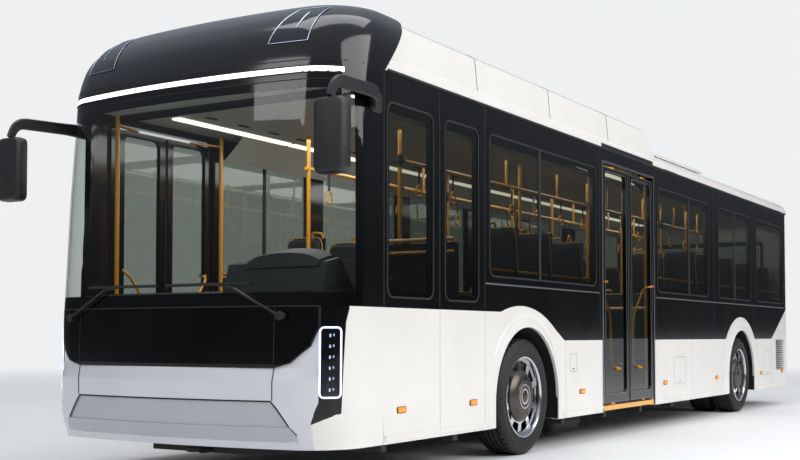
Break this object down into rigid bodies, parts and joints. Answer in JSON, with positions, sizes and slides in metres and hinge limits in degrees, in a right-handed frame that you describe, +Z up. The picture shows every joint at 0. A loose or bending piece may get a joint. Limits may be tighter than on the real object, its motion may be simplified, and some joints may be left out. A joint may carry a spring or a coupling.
{
  "type": "electric low-floor city bus",
  "caption": "Single-deck low-floor electric city bus with wraparound windscreen, domed front, roof fairing, inward-gliding doors, steered front wheels and twin rear wheels.",
  "frame": {"origin": "centre of the bounding box at ground level, under the middle of the bus", "axes": "+X forward, +Y to the bus's left, +Z up"},
  "size_m": [12.09, 3.065, 3.31],
  "materials": {
    "white_paint": "gloss",
    "silver_paint": "satin metallic",
    "grey_paint": "satin",
    "black_gloss": "gloss",
    "black_plastic": "matt",
    "tinted_glass": "gloss",
    "clear_glass": "gloss",
    "tyre_rubber": "matt",
    "polished_aluminium": "polished",
    "cast_steel": "painted",
    "frame_coating": "matt",
    "floor_covering": "matt",
    "lining": "matt",
    "dash_plastic": "grained",
    "seat_fabric": "woven",
    "rail_yellow": "gloss",
    "lamp_lens": "gloss",
    "red_lens": "gloss"
  },
  "bodies": {
    "root": {"air_conditioner": "white_paint", "bumper_centre_panel": "grey_paint", "ceiling": "lining", "chassis_frame": "frame_coating", "dashboard": "dash_plastic", "drive_motor": "cast_steel", "driver_partition": "dash_plastic", "driver_seat": "seat_fabric", "floor": "floor_covering", "front_axle": "cast_steel", "front_bumper": "silver_paint", "front_corner_panels": "white_paint", "front_dome": "black_gloss", "front_lamps": "lamp_lens", "front_mask": "black_gloss", "front_pillars": "black_gloss", "handrails": "rail_yellow", "left_skirt": "white_paint", "left_upper_wall": "black_gloss", "mirrors": "black_plastic", "passenger_seats": "seat_fabric", "rear_axle": "cast_steel", "rear_battery": "frame_coating", "rear_lamps": "red_lens", "rear_wall": "white_paint", "right_skirt": "white_paint", "right_upper_wall": "black_gloss", "roof": "white_paint", "roof_batteries": "frame_coating", "roof_fairing": "white_paint", "steering_wheel": "dash_plastic", "tow_brackets": "frame_coating", "wheel_boxes": "lining", "windows": "tinted_glass", "windscreen": "clear_glass", "wipers": "black_plastic"},
    "steering_left": {"knuckle_left": "cast_steel"},
    "front_wheel_left": {"tyre_front_left": "tyre_rubber", "rim_front_left": "polished_aluminium"},
    "rear_wheel_left": {"tyres_rear_left": "tyre_rubber", "rim_rear_left": "polished_aluminium"},
    "steering_right": {"knuckle_right": "cast_steel"},
    "front_wheel_right": {"tyre_front_right": "tyre_rubber", "rim_front_right": "polished_aluminium"},
    "rear_wheel_right": {"tyres_rear_right": "tyre_rubber", "rim_rear_right": "polished_aluminium"},
    "middle_door_front_arm": {"middle_door_front_arms": "grey_paint"},
    "middle_door_front": {"middle_door_front_leaf": "black_gloss", "middle_door_front_glass": "tinted_glass"},
    "middle_door_rear_arm": {"middle_door_rear_arms": "grey_paint"},
    "middle_door_rear": {"middle_door_rear_leaf": "black_gloss", "middle_door_rear_glass": "tinted_glass"},
    "front_door_front_arm": {"front_door_front_arms": "grey_paint"},
    "front_door_front": {"front_door_front_leaf": "black_gloss", "front_door_front_glass": "tinted_glass"},
    "front_door_rear_arm": {"front_door_rear_arms": "grey_paint"},
    "front_door_rear": {"front_door_rear_leaf": "black_gloss", "front_door_rear_glass": "tinted_glass"},
    "hatch": {"rear_hatch": "white_paint"}
  },
  "joints": [
    {"name": "steer_left", "type": "hinge", "parent": "root", "child": "steering_left", "pos_m": [2.933, 0.95, 0.48], "axis": [0, 0, 1], "range_deg": [-42, 42]},
    {"name": "front_wheel_spin_left", "type": "hinge", "parent": "steering_left", "child": "front_wheel_left", "pos_m": [2.933, 1.115, 0.48], "axis": [0, 1, 0], "continuous": true},
    {"name": "rear_wheel_spin_left", "type": "hinge", "parent": "root", "child": "rear_wheel_left", "pos_m": [-3.533, 1.115, 0.48], "axis": [0, 1, 0], "continuous": true},
    {"name": "steer_right", "type": "hinge", "parent": "root", "child": "steering_right", "pos_m": [2.933, -0.95, 0.48], "axis": [0, 0, 1], "range_deg": [-42, 42]},
    {"name": "front_wheel_spin_right", "type": "hinge", "parent": "steering_right", "child": "front_wheel_right", "pos_m": [2.933, -1.115, 0.48], "axis": [0, 1, 0], "continuous": true},
    {"name": "rear_wheel_spin_right", "type": "hinge", "parent": "root", "child": "rear_wheel_right", "pos_m": [-3.533, -1.115, 0.48], "axis": [0, 1, 0], "continuous": true},
    {"name": "middle_door_front_arm_turn", "type": "hinge", "parent": "root", "child": "middle_door_front_arm", "pos_m": [1.315, 1.17, 1], "axis": [0, 0, 1], "range_deg": [0, 88]},
    {"name": "middle_door_front_glide", "type": "hinge", "parent": "middle_door_front_arm", "child": "middle_door_front", "pos_m": [0.945, 1.25, 1], "axis": [0, 0, 1], "range_deg": [-176, 0]},
    {"name": "middle_door_rear_arm_turn", "type": "hinge", "parent": "root", "child": "middle_door_rear_arm", "pos_m": [-0.235, 1.17, 1], "axis": [0, 0, 1], "range_deg": [-88, 0]},
    {"name": "middle_door_rear_glide", "type": "hinge", "parent": "middle_door_rear_arm", "child": "middle_door_rear", "pos_m": [0.135, 1.25, 1], "axis": [0, 0, 1], "range_deg": [0, 176]},
    {"name": "front_door_front_arm_turn", "type": "hinge", "parent": "root", "child": "front_door_front_arm", "pos_m": [5.185, -1.17, 1], "axis": [0, 0, 1], "range_deg": [-88, 0]},
    {"name": "front_door_front_glide", "type": "hinge", "parent": "front_door_front_arm", "child": "front_door_front", "pos_m": [4.8925, -1.25, 1], "axis": [0, 0, 1], "range_deg": [0, 176]},
    {"name": "front_door_rear_arm_turn", "type": "hinge", "parent": "root", "child": "front_door_rear_arm", "pos_m": [3.945, -1.17, 1], "axis": [0, 0, 1], "range_deg": [0, 88]},
    {"name": "front_door_rear_glide", "type": "hinge", "parent": "front_door_rear_arm", "child": "front_door_rear", "pos_m": [4.2375, -1.25, 1], "axis": [0, 0, 1], "range_deg": [-176, 0]},
    {"name": "hatch_lift", "type": "hinge", "parent": "root", "child": "hatch", "pos_m": [-6.031, 0, 1.276], "axis": [0, 1, 0], "range_deg": [0, 80]}
  ],
  "couplings": [
    {"joint": "steer_right", "follows": "steer_left", "ratio": 1},
    {"joint": "middle_door_front_glide", "follows": "middle_door_front_arm_turn", "ratio": -2},
    {"joint": "middle_door_rear_arm_turn", "follows": "middle_door_front_arm_turn", "ratio": -1},
    {"joint": "middle_door_rear_glide", "follows": "middle_door_front_arm_turn", "ratio": 2},
    {"joint": "front_door_front_glide", "follows": "front_door_front_arm_turn", "ratio": -2},
    {"joint": "front_door_rear_arm_turn", "follows": "front_door_front_arm_turn", "ratio": -1},
    {"joint": "front_door_rear_glide", "follows": "front_door_front_arm_turn", "ratio": 2}
  ]
}
